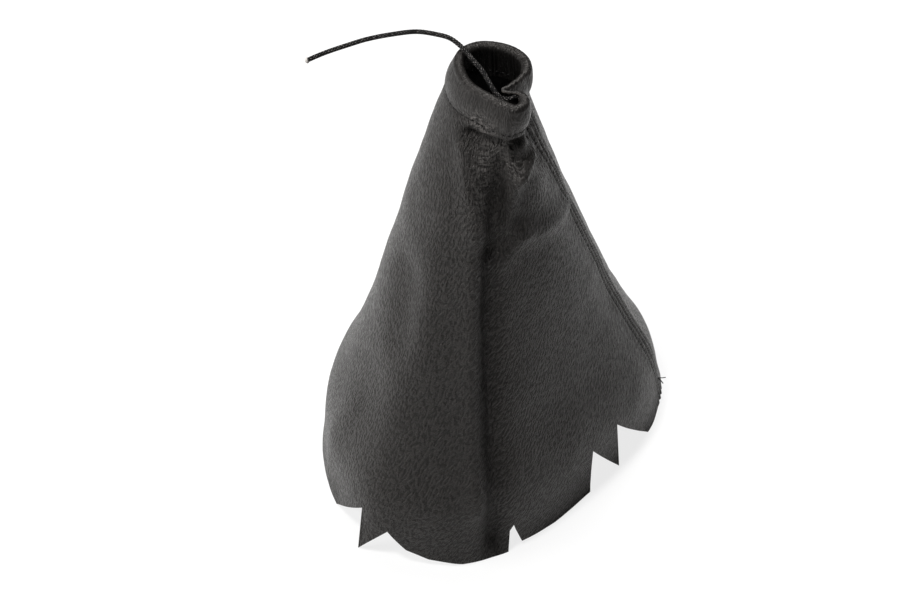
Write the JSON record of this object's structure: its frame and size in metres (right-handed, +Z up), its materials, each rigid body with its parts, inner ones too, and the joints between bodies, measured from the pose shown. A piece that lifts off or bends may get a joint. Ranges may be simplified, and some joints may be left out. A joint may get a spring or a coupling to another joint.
{
  "type": "gear lever gaiter",
  "caption": "Soft leather gear lever gaiter: a tapering wrap with a side seam, a drawstring casing round its neck, a notched lower edge and a braided drawstring.",
  "frame": {"origin": "middle of the wrap's footprint, on the surface that the gaiter stands on", "axes": "+Z up towards the neck, -Y towards the front fold, +X towards the side seam"},
  "size_m": [0.192, 0.1914, 0.2839],
  "materials": {
    "leather": "soft pebble grain with a low satin sheen",
    "cord": "braided, with a faint sheen"
  },
  "bodies": {
    "root": {"gaiter_skin": "leather", "drawstring_loop": "cord", "drawstring_tail": "cord"}
  },
  "joints": []
}
